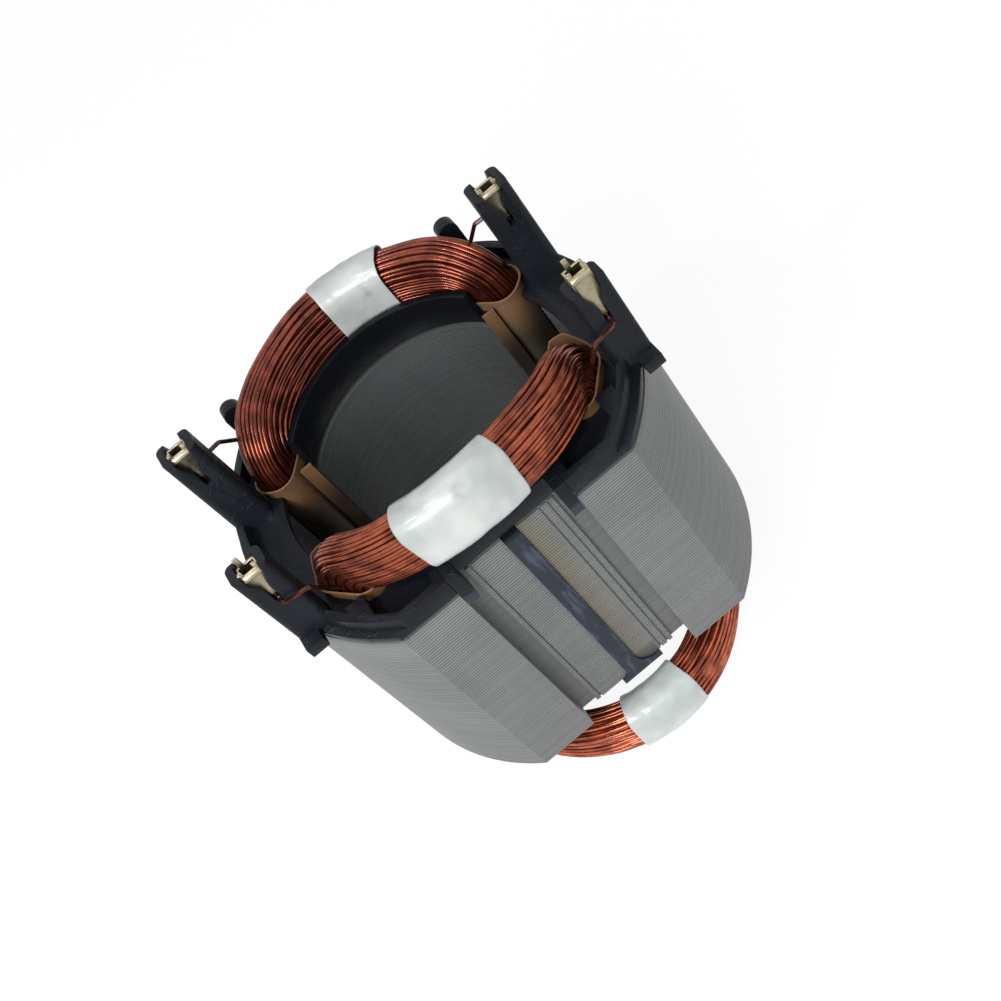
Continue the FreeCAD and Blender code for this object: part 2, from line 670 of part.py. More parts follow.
def make_lead(label, row_name, side):
    """A coil's end, held from the terminal's tail to the coil's bend."""
    x, front_y, width, depth, top = TOWERS[row_name]
    way = 1 if row_name == "rear" else -1
    radius = size("wire_diameter") / 2
    clear = radius + size("wire_gap")
    plate_y = front_y + (depth - size("pocket_depth")) / 2 + size("terminal_gap") - size("terminal_wall") / 4
    tail_z = top - size("tail_sink") - 0.02
    low_z = tail_z - 1.5
    turn = TOP_TURNS[row_name]
    swing = math.radians(size(row_name + "_cuff_turn") + 16)
    skin = Vector(LEG_X, LEG_Y, turn.bend_z + BEND * math.sin(swing)) + ALONG * (BEND * (1 - math.cos(swing)))
    skin += OUT * (size("coil_width") / 2 + clear)
    skin.y *= way
    if row_name == "rear":
        face_y = front_y + depth + clear + 0.5
        knee = Vector(x - width / 2 - 1.2, face_y + 1.2, low_z - 0.6)
    else:
        face_y = front_y - clear - 0.3
        knee = Vector(x - width / 2 - 1.0, face_y - 0.1, low_z - 0.6)
    points = [Vector(x, plate_y, tail_z), Vector(x, plate_y, low_z), Vector(x, face_y, low_z), knee, skin]
    solid, ideal = bent_wire(points, size("wire_diameter"), radius)
    if side == -1:
        solid = solid.mirror(Vector(), Vector(1, 0, 0))
    wire = doc.addObject("Part::Feature", label)
    wire.Label = label
    wire.Shape = solid
    wire.Placement = Placement()
    print(label, "volume", round(solid.Volume / ideal, 4), "of section times length")
    bodies.append(wire)


make_stack()
make_top_frame()
make_bottom_frame()
make_coil("rear", 0)
make_coil("front", 180)
make_tape("tape_rear_top", "rear_tape_span", "rear_tape_centre", TOP_TURNS["rear"], 0)
make_tape("tape_front_top", "front_tape_span", "front_tape_centre", TOP_TURNS["front"], 180)
make_tape("tape_rear_bottom", "lower_tape_span", "lower_tape_centre", LOW_TURN, 0)
make_tape("tape_front_bottom", "lower_tape_span", "lower_tape_centre", LOW_TURN, 180)
make_liner("liner_rear_right", "rear", 1, 0)
make_liner("liner_rear_left", "rear", -1, 0)
make_liner("liner_front_left", "front", 1, 180)
make_liner("liner_front_right", "front", -1, 180)
for row_name in ("rear", "front"):
    for side, side_name in ((1, "right"), (-1, "left")):
        if row_name == "rear":
            rise = "rear_terminal_rise"
        else:
            rise = f"front_{side_name}_terminal_rise"
        make_terminal(f"terminal_{row_name}_{side_name}", row_name, side, rise)
        make_lead(f"lead_{row_name}_{side_name}", row_name, side)

doc.recompute()
for item in doc.Objects:
    if "Invalid" in item.State or "Error" in item.State:
        raise RuntimeError(f"{item.Name} failed: {item.State}")
for body in bodies:
    if body.Shape.isNull() or not body.Shape.isValid() or len(body.Shape.Solids) != 1:
        raise RuntimeError(f"{body.Label} is not one valid solid")
os.makedirs("parts", exist_ok=True)
for body in bodies:
    body.Shape.exportStep(os.path.join("parts", body.Label + ".step"))
    box = body.Shape.optimalBoundingBox(False)
    print(body.Label, round(body.Shape.Volume, 1),
          [round(v, 1) for v in (box.XMin, box.YMin, box.ZMin, box.XMax, box.YMax, box.ZMax)])
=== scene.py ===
import bpy
import math
import random
from mathutils import Matrix, Vector


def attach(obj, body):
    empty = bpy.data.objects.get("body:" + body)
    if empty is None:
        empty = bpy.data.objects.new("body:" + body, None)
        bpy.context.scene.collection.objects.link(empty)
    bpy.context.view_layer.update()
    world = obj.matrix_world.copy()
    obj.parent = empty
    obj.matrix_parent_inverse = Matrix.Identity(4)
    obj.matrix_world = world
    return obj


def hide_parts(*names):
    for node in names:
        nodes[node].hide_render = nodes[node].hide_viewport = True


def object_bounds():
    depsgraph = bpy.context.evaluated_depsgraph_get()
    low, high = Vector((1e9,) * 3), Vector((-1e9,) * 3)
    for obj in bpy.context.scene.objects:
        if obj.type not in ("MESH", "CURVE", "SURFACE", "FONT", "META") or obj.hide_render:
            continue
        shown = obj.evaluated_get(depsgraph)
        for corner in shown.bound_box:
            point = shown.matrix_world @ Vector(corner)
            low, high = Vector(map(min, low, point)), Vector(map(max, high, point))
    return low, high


# The wound stator of a small motor: round wires, taped bands, paper sleeves, folded
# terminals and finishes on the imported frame. Metres, +Z along the bore towards the
# terminals, the grooved flat faces towards -Y. Front pieces are the rear ones turned
# half round.

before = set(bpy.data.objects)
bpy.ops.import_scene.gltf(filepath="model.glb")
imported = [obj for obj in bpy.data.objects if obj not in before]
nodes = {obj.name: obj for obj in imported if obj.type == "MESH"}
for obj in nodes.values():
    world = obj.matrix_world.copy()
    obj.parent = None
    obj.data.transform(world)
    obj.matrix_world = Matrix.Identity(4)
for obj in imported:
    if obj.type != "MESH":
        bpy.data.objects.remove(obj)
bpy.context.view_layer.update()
dice = random.Random(7)

MM = 0.001
UP = Vector((0, 0, 1))

# The stack and its end frames.
STACK = 50.0 * MM
FLANGE = 1.2 * MM
BORE = 21.25 * MM
POLE_TIP = 10.9 * MM
WALL_OUTSIDE = 24.2 * MM
WALL_RISE = 0.8 * MM

# The coils: half sizes of the bundle's section, and where its path runs.
COIL_HALF = (3.2 * MM, 5.3 * MM)
COIL_CORNER = 2.75 * MM
CORE_INSET = 1.35 * MM
WIRE = 0.35 * MM
WIRE_SIDES = 8
WIRE_TURN = 0.7
LEAN = math.radians(40)
LEG = Vector((22.476, 14.596, 0)) * MM
BEND = 5.8 * MM
REAR_PEAK = 60.0 * MM
FRONT_PEAK = 62.8 * MM
LOW_PEAK = -11.2 * MM
FRONT_TILT = math.radians(28)
CORNER_STEPS = 6
BEND_STEPS = 9
ARCH_STEPS = 26
BAND_STEPS = 18
OUT = Vector((math.cos(LEAN), math.sin(LEAN), 0))
ALONG = Vector((-math.sin(LEAN), math.cos(LEAN), 0))

# Bands and papers: how far they lie outside the bundle, and their walls.
TAPE_LIFT = 0.36 * MM
PAPER_LIFT = 0.12 * MM
FLAP_LIFT = 0.55 * MM
SHEET_WALL = 0.3 * MM

# Paper sleeves: foot below the stack, straight neck and flared mouth above the flange.
SLEEVE_FOOT = 5.2 * MM
SLEEVE_NECK = 1.6 * MM
SLEEVE_MOUTH = 1.5 * MM
MOUTH_SPREAD = 1.09
WING_LAP = 0.45 * MM
WING_RISE = 2.5 * MM
WING_START = 1.0 * MM
WING_STEPS = 6


# Materials
class Tone:
    """A socket of a material's nodes, so shader maths reads as plain expressions."""

    def __init__(self, finish, socket):
        self.finish = finish
        self.socket = socket

    def maths(self, kind, other, swap=False):
        pair = (other, self) if swap else (self, other)
        return self.finish.node("ShaderNodeMath", {"operation": kind}, *pair)

    def __add__(self, other):
        return self.maths("ADD", other)

    def __radd__(self, other):
        return self.maths("ADD", other, True)

    def __sub__(self, other):
        return self.maths("SUBTRACT", other)

    def __rsub__(self, other):
        return self.maths("SUBTRACT", other, True)

    def __mul__(self, other):
        return self.maths("MULTIPLY", other)

    def __rmul__(self, other):
        return self.maths("MULTIPLY", other, True)

    def __truediv__(self, other):
        return self.maths("DIVIDE", other)

    def __rtruediv__(self, other):
        return self.maths("DIVIDE", other, True)

    def largest(self, other):
        return self.maths("MAXIMUM", other)


class Nodes:
    """A node tree, and the one method that adds a node to it."""

    def __init__(self, tree):
        self.tree = tree

    def node(self, kind, settings=None, *values, pick=0, at=None, **named):
        """Adds a node: its settings first, then each socket's value or link."""
        made = self.tree.nodes.new(kind)
        for key, value in (settings or {}).items():
            setattr(made, key, value)
        sockets = list(enumerate(values)) + list((at or {}).items()) + list(named.items())
        for key, value in sockets:
            target = made.inputs[key]
            if isinstance(value, Tone):
                self.tree.links.new(value.socket, target)
            elif isinstance(value, tuple) and target.type == "RGBA":
                target.default_value = (*value[:3], 1)
            else:
                target.default_value = value
        return Tone(self, made.outputs[pick])

    def seen(self):
        """One where the camera, a shiny piece or a clear piece looks, and nought for light."""
        kinds = ("Camera", "Glossy", "Transmission")
        looks = [self.node("ShaderNodeLightPath", pick=f"Is {kind} Ray") for kind in kinds]
        return looks[0].largest(looks[1]).largest(looks[2])


class Finish(Nodes):
    """One material, its shader and the nodes that feed it."""

    def __init__(self, name, roughness=0.5, metallic=0.0, coat=0.0):
        self.material = bpy.data.materials.new(name)
        self.material.use_nodes = True
        super().__init__(self.material.node_tree)
        self.shader = self.tree.nodes["Principled BSDF"]
        self.shader.inputs["Roughness"].default_value = roughness
        self.shader.inputs["Metallic"].default_value = metallic
        self.shader.inputs["Coat Weight"].default_value = coat
        self.place = self.node("ShaderNodeTexCoord", pick="Object")

    def axis(self, name):
        return self.node("ShaderNodeSeparateXYZ", None, self.place, pick="XYZ".index(name))

    def from_bore(self):
        """The distance from the bore's axis."""
        flat = self.node("ShaderNodeCombineXYZ", None, self.axis("X"), self.axis("Y"), 0.0)
        return self.node("ShaderNodeVectorMath", {"operation": "LENGTH"}, flat, pick=1)

    def noise(self, scale, detail=3.0, rough=0.6, stretch=(1, 1, 1)):
        where = self.node("ShaderNodeMapping", None, self.place, Scale=stretch)
        return self.node("ShaderNodeTexNoise", None, Vector=where, Scale=scale, Detail=detail,
                         Roughness=rough)

    def between(self, value, low, high, start=0.0, stop=1.0):
        smooth = {"interpolation_type": "SMOOTHSTEP"}
        return self.node("ShaderNodeMapRange", smooth, value, low, high, start, stop)

    def past(self, place, low, high):
        """Rises from nought to one between two places in millimetres."""
        return self.between(place, low * MM, high * MM)

    def before(self, place, low, high, start=1.0, stop=0.0):
        """Falls from one to nought between two places in millimetres."""
        return self.between(place, low * MM, high * MM, start, stop)

    def band(self, place, rise, fall):
        """One between two edges, each a pair of places in millimetres."""
        return self.past(place, *rise) * self.before(place, *fall)

    def mix(self, amount, first, second, kind="MIX"):
        settings = {"data_type": "RGBA", "blend_type": kind}
        return self.node("ShaderNodeMix", settings, pick=2, at={0: amount, 6: first, 7: second})

    def scaled(self, colour, amount):
        grey = self.node("ShaderNodeCombineColor", None, amount, amount, amount)
        return self.mix(1.0, colour, grey, "MULTIPLY")

    def feed(self, name, value):
        self.tree.links.new(value.socket, self.shader.inputs[name])

    def bump(self, height, strength, distance):
        normal = self.node("ShaderNodeBump", None, Strength=strength, Distance=distance, Height=height)
        self.feed("Normal", normal)


def steel_finish():
    """Stacked sheet edges: a tone and a fine groove for each sheet."""
    finish = Finish("steel_sheet_edges", roughness=0.5, metallic=0.35)
    x, y, z = (finish.axis(name) for name in "XYZ")
    sheet_thickness = 0.62 * MM
    sheet = z / sheet_thickness
    index = finish.node("ShaderNodeMath", {"operation": "FLOOR"}, sheet)
    tone = finish.node("ShaderNodeTexWhiteNoise", {"noise_dimensions": "1D"}, W=index)
    ripple = finish.node("ShaderNodeMath", {"operation": "PINGPONG"}, sheet, 0.5)
    groove = finish.between(ripple, 0.04, 0.30)
    smear = finish.noise(60, 4, 0.65, (1, 1, 9))
    cloud = finish.noise(38, 4, 0.6)
    scratch = finish.noise(420, 2, 0.5, (1, 1, 0.12))

    # Places: the bore's wall, darkened with painted shade; the front recess with its channels, which get
    # painted shade; the panel beside the bar, which gets a painted warm reflection; and that panel's
    # foot, which gets a painted shadow.
    bore_shade = finish.before(finish.from_bore(), 23.0, 26.0) * finish.past(y, -22.5, -20.5)
    front = finish.before(y, -24.0, -22.5)
    left_channel = finish.band(x, (-11.6, -11.3), (-8.5, -8.2))
    right_channel = finish.band(x, (8.6, 8.9), (11.2, 11.6))
    channel = (left_channel + right_channel) * front
    warm_reflection = finish.band(x, (1.2, 1.6), (2.6, 6.2)) * front
    painted_foot_shadow = finish.before(z, 1.0, 5.0) * finish.band(x, (1.2, 1.6), (5.0, 6.0)) * front

    # The channels are smoother than the open sheet edges, and darker with painted shade.
    lines = groove * (1 - 0.75 * channel) + 0.6 * channel
    level = 0.46 + 0.60 * lines + 0.16 * tone * (0.4 + 0.6 * smear) - 0.12 * channel
    level = level * (0.84 + 0.32 * cloud) * (0.93 + 0.14 * scratch)
    plain = finish.mix(cloud, (0.150, 0.160, 0.157), (0.200, 0.209, 0.203))
    # Painted reflection: a warm brown tint on the panel beside the bar.
    plain = finish.mix(warm_reflection * (0.55 + 0.5 * smear), plain, (0.165, 0.150, 0.105))
    # Painted shadow: the panel's foot is darkened next to the bar's flared foot.
    plain = finish.mix(painted_foot_shadow * 0.7, plain, (0.05, 0.05, 0.045))
    # Painted shade: the bore's wall is darkened towards a grey-green.
    plain = finish.mix(bore_shade * 0.9, plain, (0.075, 0.086, 0.084))
    finish.feed("Base Color", finish.scaled(plain, level))
    finish.feed("Roughness", 0.42 + 0.25 * cloud - 0.05 * tone)
    finish.bump(lines + 0.4 * tone + 0.2 * scratch, 0.6, 0.10 * MM)
    return finish.material


def plastic_finish():
    """Black moulded plastic with a faint blue sheen and small rubbed marks."""
    finish = Finish("black_moulded_plastic", roughness=0.36)
    finish.shader.inputs["Specular IOR Level"].default_value = 0.14
    y, z = finish.axis("Y"), finish.axis("Z")
    radius = finish.from_bore()
    cloud = finish.noise(90, 4, 0.6)
    grain = finish.noise(900, 2, 0.5)
    rub = finish.between(finish.noise(260, 5, 0.7, (1, 0.4, 1)), 0.60, 0.74)
    highlight_streak = finish.noise(700, 3, 0.6, (1, 1, 0.15))

    # Places: the pole walls and the front rim, which get painted shade, and the bar in the recess, which
    # gets painted light and painted highlight streaks.
    walls = finish.before(radius, 23.8, 25.5, 0.75) * finish.past(z, 49, 51)
    rim = finish.band(z, (49.6, 50.4), (56, 58)) * finish.before(y, -20.0, -18.0)
    shaded = walls.largest(0.1 * rim)
    lit_bar = finish.before(z, 48.5, 49.5) * finish.before(y, -21, -20)

    base = finish.mix(cloud, (0.005, 0.0062, 0.0085), (0.011, 0.0135, 0.0185))
    base = finish.mix(rub * 0.35, base, (0.045, 0.05, 0.062))
    # Painted shade on the pole walls and the front rim.
    base = finish.mix(shaded, base, (0.003, 0.0035, 0.005))
    # Painted light: the bar and its foot are lighter and bluer than the other plastic, with painted
    # highlight streaks.
    base = finish.mix(lit_bar, base, (0.023, 0.028, 0.040))
    base = finish.mix(lit_bar * finish.between(highlight_streak, 0.5, 0.7), base, (0.055, 0.067, 0.092))
    finish.feed("Base Color", base)
    finish.feed("Roughness", 0.30 + 0.22 * cloud + 0.12 * rub - 0.12 * shaded - 0.08 * lit_bar)
    lump = finish.between(finish.noise(330, 3, 0.6), 0.57, 0.64) * finish.past(radius, 26, 28)
    finish.bump(grain + 2.0 * cloud + 1.6 * lump, 0.4, 0.12 * MM)
    return finish.material


def copper_finish(name, warm, deep):
    """Enamelled wire: red-brown with an orange glint and darker turns."""
    finish = Finish(name, roughness=0.3, metallic=0.85, coat=0.12)
    finish.shader.inputs["Coat Roughness"].default_value = 0.18
    turn = finish.noise(330, 2, 0.5)
    patch = finish.noise(70, 3, 0.6)
    base = finish.mix(finish.between(turn, 0.38, 0.66), deep, warm)
    base = finish.mix(finish.between(patch, 0.45, 0.7) * 0.3, base, (0.13, 0.035, 0.024))
    # The lower turns stand in brighter light in the photograph.
    low = finish.before(finish.axis("Z"), -6, 0, 1.4, 1.0)
    finish.feed("Base Color", finish.scaled(base, low))
    finish.feed("Roughness", 0.20 + 0.16 * patch)
    return finish.material


def core_finish():
    """The shaded turns under the outer layers."""
    finish = Finish("inner_turns", roughness=0.6)
    shade = finish.noise(500, 2, 0.5)
    finish.feed("Base Color", finish.mix(shade, (0.030, 0.009, 0.006), (0.09, 0.024, 0.014)))
    return finish.material


def tape_finish():
    """White tape, satin, with creases and pale grey stains."""
    finish = Finish("white_tape", roughness=0.32, coat=0.25)
    finish.shader.inputs["Subsurface Weight"].default_value = 0.06
    finish.shader.inputs["Subsurface Radius"].default_value = (2 * MM, 2 * MM, 2 * MM)
    crease = finish.noise(210, 5, 0.62, (1, 1, 0.6))
    fold = finish.noise(70, 3, 0.55)
    stain = finish.between(finish.noise(120, 3, 0.6), 0.60, 0.74)
    blot = finish.between(finish.noise(60, 2, 0.5, (1.3, 1.0, 0.8)), 0.60, 0.70)
    # Lighter and darker with the same noise as the fold bumps: painted light and shade on the folds.
    base = finish.mix(finish.between(fold, 0.35, 0.65), (0.33, 0.365, 0.355), (0.50, 0.525, 0.51))
    base = finish.mix(stain * 0.7, base, (0.27, 0.225, 0.255))
    base = finish.mix(blot * 0.5, base, (0.34, 0.315, 0.345))
    # Painted light: the bands low down are made brighter.
    low = finish.before(finish.axis("Z"), -6, 0, 1.28, 1.0)
    finish.feed("Base Color", finish.scaled(base, low))
    finish.feed("Roughness", 0.26 + 0.25 * crease)
    finish.bump(crease + 1.5 * fold, 0.5, 0.25 * MM)
    return finish.material


def paper_finish():
    """Tan slot paper, waxed, with painted shade darkening it down into the slot."""
    finish = Finish("tan_slot_paper", roughness=0.5, coat=0.05)
    finish.shader.inputs["Specular IOR Level"].default_value = 0.3
    fibre = finish.noise(600, 3, 0.6, (1, 1, 0.25))
    cloud = finish.noise(110, 3, 0.6)
    high = finish.past(finish.axis("Z"), 42, 53)
    # Painted shade: below the flange the paper turns near black inside the slot.
    base = finish.mix(high, (0.022, 0.016, 0.009), (0.185, 0.098, 0.046))
    base = finish.mix(finish.between(cloud, 0.4, 0.7) * 0.4, base, (0.13, 0.075, 0.036))
    finish.feed("Base Color", finish.scaled(base, 0.85 + 0.3 * fibre))
    finish.feed("Roughness", 0.42 + 0.2 * cloud)
    finish.bump(fibre + cloud, 0.25, 0.1 * MM)
    return finish.material


def brass_finish():
    """Pale plated brass, a little tarnished."""
    finish = Finish("plated_brass", roughness=0.3, metallic=1.0)
    cloud = finish.noise(420, 4, 0.6)
    stain = finish.between(finish.noise(240, 4, 0.65), 0.52, 0.68)
    base = finish.mix(cloud, (0.31, 0.265, 0.17), (0.50, 0.45, 0.33))
    finish.feed("Base Color", finish.mix(stain * 0.7, base, (0.20, 0.15, 0.09)))
    finish.feed("Roughness", 0.22 + 0.3 * cloud)
    finish.bump(cloud, 0.2, 0.05 * MM)
    return finish.material


STEEL = steel_finish()
PLASTIC = plastic_finish()
COPPER = copper_finish("enamelled_wire", (0.35, 0.087, 0.040), (0.16, 0.036, 0.018))
# The rear coil's wire is a darker copy of the front coil's wire: painted shade.
SHADED_REAR_COPPER = copper_finish("enamelled_wire_in_shade", (0.235, 0.054, 0.028), (0.105, 0.023, 0.013))
LEAD = copper_finish("enamelled_lead_wire", (0.14, 0.045, 0.026), (0.05, 0.016, 0.011))
DARK_LEAD = copper_finish("dark_lead_wire", (0.075, 0.035, 0.025), (0.03, 0.015, 0.012))
CORE = core_finish()
TAPE = tape_finish()
PAPER = paper_finish()
BRASS = brass_finish()


# The coils' path
def about(point, axis, angle):
    """A turn about an axis through a point."""
    return Matrix.Translation(point) @ Matrix.Rotation(angle, 4, axis) @ Matrix.Translation(-point)


def leg_place(z):
    """The slot leg's section at a height: X across the slot, Y along its long side."""
    facing = Matrix((OUT, ALONG, UP)).transposed().to_4x4()
    return Matrix.Translation(LEG + UP * z) @ facing


def mirrored(place):
    """The same place or direction on the left side."""
    return Vector((-place.x, place.y, place.z))


class Turn:
    """An end of a coil: the bend out of the slot and the arch in its tilted plane."""

    def __init__(self, peak, tilt, way):
        entry = math.atan(math.tan(tilt) * math.cos(LEAN))
        begin = math.asin(math.sin(LEAN) * math.cos(entry))
        foot = LEG + ALONG * (BEND * (1 - math.sin(entry)))
        radius = foot.x / math.cos(begin)
        start_z = peak - way * radius * (1 - math.sin(begin)) * math.sin(tilt)
        climb = Vector((0, math.cos(tilt), math.sin(tilt)))
        radial = Vector((1, 0, 0)) * math.cos(begin) + climb * math.sin(begin)
        self.way = way
        self.begin = begin
        self.centre = foot + UP * start_z - radial * radius
        self.normal = Vector((0, -math.sin(tilt), math.cos(tilt)))
        self.bend_z = start_z - way * BEND * math.cos(entry)
        self.bend_angle = math.radians(90) - entry
        self.hub = LEG + ALONG * BEND + UP * self.bend_z

    def station(self, degrees):
        """The section's place on the arch, at an angle counted from the right."""
        bent = about(self.hub, -OUT * self.way, self.bend_angle) @ leg_place(self.bend_z)
        return about(self.centre, self.normal, math.radians(degrees) - self.begin) @ bent


REAR = Turn(REAR_PEAK, 0.0, 1)
FRONT = Turn(FRONT_PEAK, FRONT_TILT, 1)
LOW = Turn(LOW_PEAK, 0.0, -1)


# Modelling steps
def alone(piece):
    """Selects one piece and nothing else."""
    bpy.ops.object.select_all(action="DESELECT")
    piece.select_set(True)
    bpy.context.view_layer.objects.active = piece


def enter_edit():
    """Starts edit mode with all of the mesh selected."""
    bpy.ops.object.mode_set(mode="EDIT")
    bpy.ops.mesh.select_all(action="SELECT")


def leave_edit():
    """Ends edit mode, so that the object's own steps can follow."""
    bpy.ops.object.mode_set(mode="OBJECT")


def face_out():
    """Turns all faces outwards and ends edit mode."""
    bpy.ops.mesh.select_all(action="SELECT")
    bpy.ops.mesh.normals_make_consistent(inside=False)
    leave_edit()


def select_top(piece):
    """Selects only the highest row of a mesh that is in edit mode."""
    leave_edit()
    mesh = piece.data
    top = max(corner.co.z for corner in mesh.vertices)
    row = {corner.index for corner in mesh.vertices if corner.co.z > top - 0.01 * MM}
    for face in mesh.polygons:
        face.select = False
    for edge in mesh.edges:
        edge.select = row.issuperset(edge.vertices)
    for corner in mesh.vertices:
        corner.select = corner.index in row
    bpy.ops.object.mode_set(mode="EDIT")


def settle(piece):
    """Writes the object's place into its mesh."""
    alone(piece)
    bpy.ops.object.transform_apply(location=True, rotation=True, scale=True)


def apply_modifiers(piece):
    """Applies a piece's modifiers in their order."""
    alone(piece)
    for modifier in list(piece.modifiers):
        bpy.ops.object.modifier_apply(modifier=modifier.name)


def rounded_ring(half_x, half_y, corner, count):
    """Evenly spaced points round a rectangle with round corners, from its right side's middle."""
    flat_x = 2 * (half_x - corner)
    flat_y = 2 * (half_y - corner)
    quarter = math.pi / 2 * corner
    whole = 2 * (flat_x + flat_y) + 4 * quarter
    points = []
    for step in range(count):
        along = (flat_y / 2 + whole * step / count) % whole
        # Each side is a flat and the quarter circle that follows it.
        for side in range(4):
            flat = flat_x if side % 2 else flat_y
            if along <= flat + quarter:
                break
            along -= flat + quarter
        back = max(0, flat - along)
        facing = math.radians(90 * side) + max(0, along - flat) / corner
        hub_x = flat_x / 2 if side in (0, 3) else -flat_x / 2
        hub_y = flat_y / 2 if side in (0, 1) else -flat_y / 2
        x = hub_x + corner * math.cos(facing) + back * math.sin(facing)
        y = hub_y + corner * math.sin(facing) - back * math.cos(facing)
        points.append((x, y))
    return points


def section_loop(name, grow, place):
    """The bundle's outline as a loop of edges, grown outwards and set on the path."""
    bpy.ops.object.select_all(action="DESELECT")
    bpy.ops.mesh.primitive_plane_add(size=2)
    loop = bpy.context.object
    loop.name = name
    loop.scale = (COIL_HALF[0] + grow, COIL_HALF[1] + grow, 1)
    settle(loop)
    enter_edit()
    bpy.ops.mesh.delete(type="ONLY_FACE")
    bpy.ops.mesh.select_all(action="SELECT")
    bpy.ops.mesh.bevel(offset=COIL_CORNER + grow, segments=CORNER_STEPS, affect="VERTICES")
    leave_edit()
    loop.matrix_world = place
    settle(loop)
    return loop


def spin(centre, axis, angle, steps):
    """Turns the selected edges about an axis, right-handed, and leaves the last ones selected."""
    bpy.ops.mesh.spin(steps=steps, angle=-angle, center=centre, axis=axis)


def run(offset):
    """Extrudes the selected edges and leaves the new ones selected."""
    bpy.ops.mesh.extrude_region_move(TRANSFORM_OT_translate={"value": offset})


def sweep_coil(top):
    """Carries the selected sections round a whole coil, from the right leg's foot back to it."""
    enter_edit()
    run(UP * (top.bend_z - LOW.bend_z))
    # Up and over to the left, down the left leg, then under and back to the right.
    for turn, side, first in ((top, OUT, top.hub), (LOW, mirrored(OUT), mirrored(LOW.hub))):
        spin(first, -side, turn.bend_angle, BEND_STEPS)
        spin(turn.centre, turn.normal * turn.way, math.pi - 2 * turn.begin, ARCH_STEPS)
        spin(mirrored(first), -mirrored(side), turn.bend_angle, BEND_STEPS)
        if turn is top:
            run(UP * (LOW.bend_z - top.bend_z))
    bpy.ops.mesh.select_all(action="SELECT")
    bpy.ops.mesh.remove_doubles(threshold=0.02 * MM)
    face_out()


def shade(piece, material, slot, angle=60):
    """Smooths a piece up to an angle and gives it its material; the slot is not used."""
    alone(piece)
    bpy.ops.object.shade_smooth_by_angle(angle=math.radians(angle))
    piece.data.materials.clear()
    piece.data.materials.append(material)


def belong(piece, node):
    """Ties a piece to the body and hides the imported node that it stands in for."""
    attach(piece, "root")
    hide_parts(node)


def face_front(piece):
    """Turns a rear piece half round, to the front."""
    piece.matrix_world = Matrix.Rotation(math.pi, 4, "Z") @ piece.matrix_world
    settle(piece)


def ripple(piece, name, size, strength):
    """Small uneven shifts, as hand-laid wire and tape have."""
    cloud = bpy.data.textures.new(name, "CLOUDS")
    cloud.noise_scale = size
    cloud.noise_depth = 1
    cloud.cloud_type = "COLOR"
    shift = piece.modifiers.new(name, "DISPLACE")
    shift.texture = cloud
    shift.texture_coords = "LOCAL"
    shift.direction = "RGB_TO_XYZ"
    shift.mid_level = 0.5
    shift.strength = strength


# Coils
def make_lay(name, top, points, size, strength):
    """Round wires side by side in one closed loop, each a little out of line."""
    bpy.ops.object.select_all(action="DESELECT")
    bpy.ops.mesh.primitive_circle_add(vertices=WIRE_SIDES, radius=WIRE)
    lay = bpy.context.object
    lay.name = name
    bpy.ops.object.mode_set(mode="EDIT")
    bpy.ops.mesh.delete(type="VERT")
    for x, y in points:
        turn = (0, 0, dice.uniform(0, WIRE_TURN))
        bpy.ops.mesh.primitive_circle_add(vertices=WIRE_SIDES, radius=WIRE, location=(x, y, 0),
                                          rotation=turn)
    leave_edit()
    lay.matrix_world = leg_place(LOW.bend_z)
    settle(lay)
    sweep_coil(top)
    ripple(lay, name + "_wander", size, strength)
    apply_modifiers(lay)
    shade(lay, SHADED_REAR_COPPER if top is REAR else COPPER, "enamelled_copper", 180)
    return lay


def loose_ring(inset, count, loose):
    """Wire centres round the bundle's section, each a little out of place."""
    ring = rounded_ring(COIL_HALF[0] - inset, COIL_HALF[1] - inset, COIL_CORNER - inset, count)
    return [(x + dice.uniform(-loose, loose), y + dice.uniform(-loose, loose)) for x, y in ring]


def make_coil(row_name, top):
    """Three lays of round wire over a core: two interleaved outside, one between their turns."""
    outside = loose_ring(0.37 * MM, 38, 0.13 * MM)
    between = loose_ring(1.00 * MM, 31, 0.10 * MM)
    # Each lay wanders by its own size of wave and its own strength.
    lays = {
        "outer": (outside[::2], 15 * MM, 1.0 * MM),
        "crossing": (outside[1::2], 19 * MM, 1.2 * MM),
        "inner": (between, 12 * MM, 0.9 * MM),
    }
    pieces = [make_lay(f"{row_name}_coil_{tag}_wires", top, *lay) for tag, lay in lays.items()]
    core = section_loop(row_name + "_coil_core", -CORE_INSET, leg_place(LOW.bend_z))
    sweep_coil(top)
    shade(core, CORE, "enamelled_copper")
    pieces.append(core)
    for piece in pieces:
        if row_name == "front":
            face_front(piece)
        belong(piece, row_name + "_coil")


make_coil("rear", REAR)
make_coil("front", FRONT)


# Bands of tape
def make_tape(node, turn, centre, span):
    """A band of tape with soft edges, laid over the wires."""
    band = section_loop(node + "_band", TAPE_LIFT, turn.station(centre - span / 2))
    enter_edit()
    spin(turn.centre, turn.normal, math.radians(span), BAND_STEPS)
    bpy.ops.mesh.select_all(action="SELECT")
    bpy.ops.mesh.subdivide(number_cuts=1)
    face_out()
    ripple(band, node + "_crease", 3.2 * MM, 0.35 * MM)
    wall = band.modifiers.new("wall", "SOLIDIFY")
    wall.thickness = SHEET_WALL
    wall.offset = 1
    soft = band.modifiers.new("soft", "SUBSURF")
    soft.levels = 1
    soft.render_levels = 1
    apply_modifiers(band)
    shade(band, TAPE, "white_tape")
    if "front" in node:
        face_front(band)
    belong(band, node)


